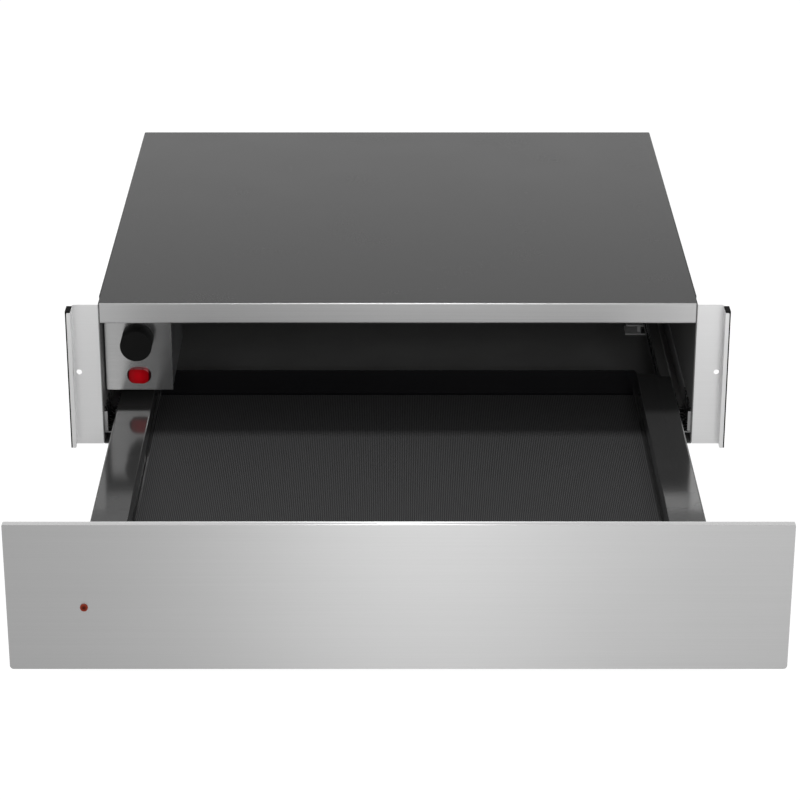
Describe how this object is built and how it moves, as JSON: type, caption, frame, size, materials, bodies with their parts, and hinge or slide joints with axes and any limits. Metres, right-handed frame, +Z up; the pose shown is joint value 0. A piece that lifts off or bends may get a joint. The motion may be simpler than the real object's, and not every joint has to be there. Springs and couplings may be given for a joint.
{
  "type": "warming drawer",
  "caption": "Built-in warming drawer: sheet-steel casing with side mounting flanges, stainless-fronted tray on ball-bearing slides, thermostat knob, rocker switch and fan heater.",
  "frame": {"origin": "centre of the casing's underside, on the plane that rests on the shelf", "axes": "+X to the right seen from the front, +Y to the rear (the drawer opens towards -Y), +Z up"},
  "size_m": [0.5942, 0.96, 0.1371],
  "materials": {
    "casing_enamel": "gloss dark enamel",
    "cover_coat": "satin grey coating",
    "stainless": "brushed stainless",
    "zinc": "zinc plated",
    "seal_rubber": "matte black",
    "mat_rubber": "fine textured",
    "tray_enamel": "gloss dark enamel",
    "knob_black": "matte",
    "switch_black": "gloss",
    "rocker_red": "gloss, lit from inside when on",
    "window_red": "clear red",
    "thermostat_body": "moulded",
    "core_board": "fibre board",
    "latch_grey": "light grey moulding",
    "plunger_black": "matte",
    "galvanised": "galvanised sheet",
    "motor_steel": "plated can",
    "impeller_aluminium": "pressed",
    "element_sheath": "heat toned",
    "terminal_white": "moulded"
  },
  "bodies": {
    "casing": {"casing_base": "casing_enamel", "top_cover": "cover_coat", "rear_panel": "galvanised", "front_cross_rail": "stainless", "left_flange": "stainless", "right_flange": "stainless", "left_edge_seal": "seal_rubber", "right_edge_seal": "seal_rubber", "control_plate": "stainless", "control_box": "galvanised", "thermostat": "thermostat_body", "switch_housing": "switch_black", "left_slide_outer": "zinc", "right_slide_outer": "zinc", "left_slide_bracket": "galvanised", "right_slide_bracket": "galvanised", "latch_housing": "latch_grey", "fan_housing": "galvanised", "fan_motor": "motor_steel", "heating_element": "element_sheath", "terminal_block": "terminal_white", "cable_bush": "seal_rubber", "cover_screws": "zinc", "flange_screws": "zinc"},
    "drawer": {"tray": "tray_enamel", "tray_front_wall": "tray_enamel", "tray_rear_wall": "tray_enamel", "left_tray_carrier": "galvanised", "right_tray_carrier": "galvanised", "anti_slip_mat": "mat_rubber", "front_panel": "stainless", "panel_core": "core_board", "panel_lining": "galvanised", "light_window": "window_red", "latch_striker": "zinc", "left_slide_inner": "zinc", "right_slide_inner": "zinc", "left_panel_bracket": "galvanised", "right_panel_bracket": "galvanised", "panel_screws": "zinc"},
    "thermostat_knob": {"knob": "knob_black", "thermostat_shaft": "zinc"},
    "switch_rocker": {"rocker": "rocker_red"},
    "plunger": {"latch_plunger": "plunger_black"},
    "fan_rotor": {"fan_impeller": "impeller_aluminium", "motor_shaft": "zinc"},
    "left_middle": {"left_slide_middle": "zinc"},
    "left_outer_cage": {"left_outer_ball_cage": "zinc"},
    "left_inner_cage": {"left_inner_ball_cage": "zinc"},
    "right_middle": {"right_slide_middle": "zinc"},
    "right_outer_cage": {"right_outer_ball_cage": "zinc"},
    "right_inner_cage": {"right_inner_ball_cage": "zinc"}
  },
  "joints": [
    {"name": "drawer_slide", "type": "slide", "parent": "casing", "child": "drawer", "axis": [0, -1, 0], "range_m": [-0.423, 0]},
    {"name": "knob_turn", "type": "hinge", "parent": "casing", "child": "thermostat_knob", "pos_m": [-0.2365, -0.23575, 0.095], "axis": [0, 1, 0], "range_deg": [0, 270]},
    {"name": "rocker_tilt", "type": "hinge", "parent": "casing", "child": "switch_rocker", "pos_m": [-0.2363, -0.23275, 0.059], "axis": [0, 0, 1], "range_deg": [0, 12]},
    {"name": "plunger_push", "type": "slide", "parent": "casing", "child": "plunger", "axis": [0, 1, 0], "range_m": [0, 0.005], "stiffness_N_per_m": 400, "springref_m": -0.002},
    {"name": "fan_spin", "type": "hinge", "parent": "casing", "child": "fan_rotor", "pos_m": [0, 0.2, 0.085], "axis": [0, 1, 0], "continuous": true},
    {"name": "left_middle_slide", "type": "slide", "parent": "casing", "child": "left_middle", "axis": [0, -1, 0], "range_m": [-0.2115, 0]},
    {"name": "left_outer_cage_slide", "type": "slide", "parent": "casing", "child": "left_outer_cage", "axis": [0, -1, 0], "range_m": [-0.10575, 0]},
    {"name": "left_inner_cage_slide", "type": "slide", "parent": "casing", "child": "left_inner_cage", "axis": [0, -1, 0], "range_m": [-0.31725, 0]},
    {"name": "right_middle_slide", "type": "slide", "parent": "casing", "child": "right_middle", "axis": [0, -1, 0], "range_m": [-0.2115, 0]},
    {"name": "right_outer_cage_slide", "type": "slide", "parent": "casing", "child": "right_outer_cage", "axis": [0, -1, 0], "range_m": [-0.10575, 0]},
    {"name": "right_inner_cage_slide", "type": "slide", "parent": "casing", "child": "right_inner_cage", "axis": [0, -1, 0], "range_m": [-0.31725, 0]}
  ],
  "couplings": [
    {"joint": "left_middle_slide", "follows": "drawer_slide", "ratio": 0.5},
    {"joint": "left_outer_cage_slide", "follows": "drawer_slide", "ratio": 0.25},
    {"joint": "left_inner_cage_slide", "follows": "drawer_slide", "ratio": 0.75},
    {"joint": "right_middle_slide", "follows": "drawer_slide", "ratio": 0.5},
    {"joint": "right_outer_cage_slide", "follows": "drawer_slide", "ratio": 0.25},
    {"joint": "right_inner_cage_slide", "follows": "drawer_slide", "ratio": 0.75}
  ]
}
